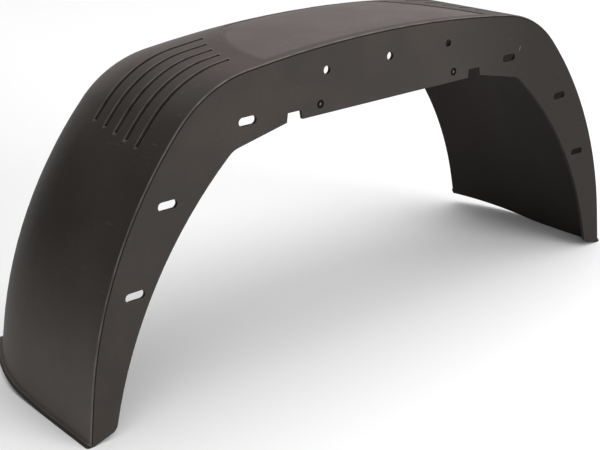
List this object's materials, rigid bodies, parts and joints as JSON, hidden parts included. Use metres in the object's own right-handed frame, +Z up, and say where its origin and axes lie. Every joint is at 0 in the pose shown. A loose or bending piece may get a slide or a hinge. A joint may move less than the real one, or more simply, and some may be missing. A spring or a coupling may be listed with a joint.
{
  "type": "trailer mudguard",
  "caption": "One-piece arched plastic trailer mudguard with a slotted mounting flange, a rounded outer edge, shoulder grooves and a sunk tread panel.",
  "frame": {"origin": "on the ground, midway between the two legs and midway across the width", "axes": "+X along the trailer, +Y from the mounting flange to the rounded outer edge, +Z up"},
  "size_m": [0.7874, 0.236, 0.3439],
  "materials": {
    "shell": "satin black, fine moulded grain"
  },
  "bodies": {
    "root": {"mudguard_shell": "shell"}
  },
  "joints": []
}
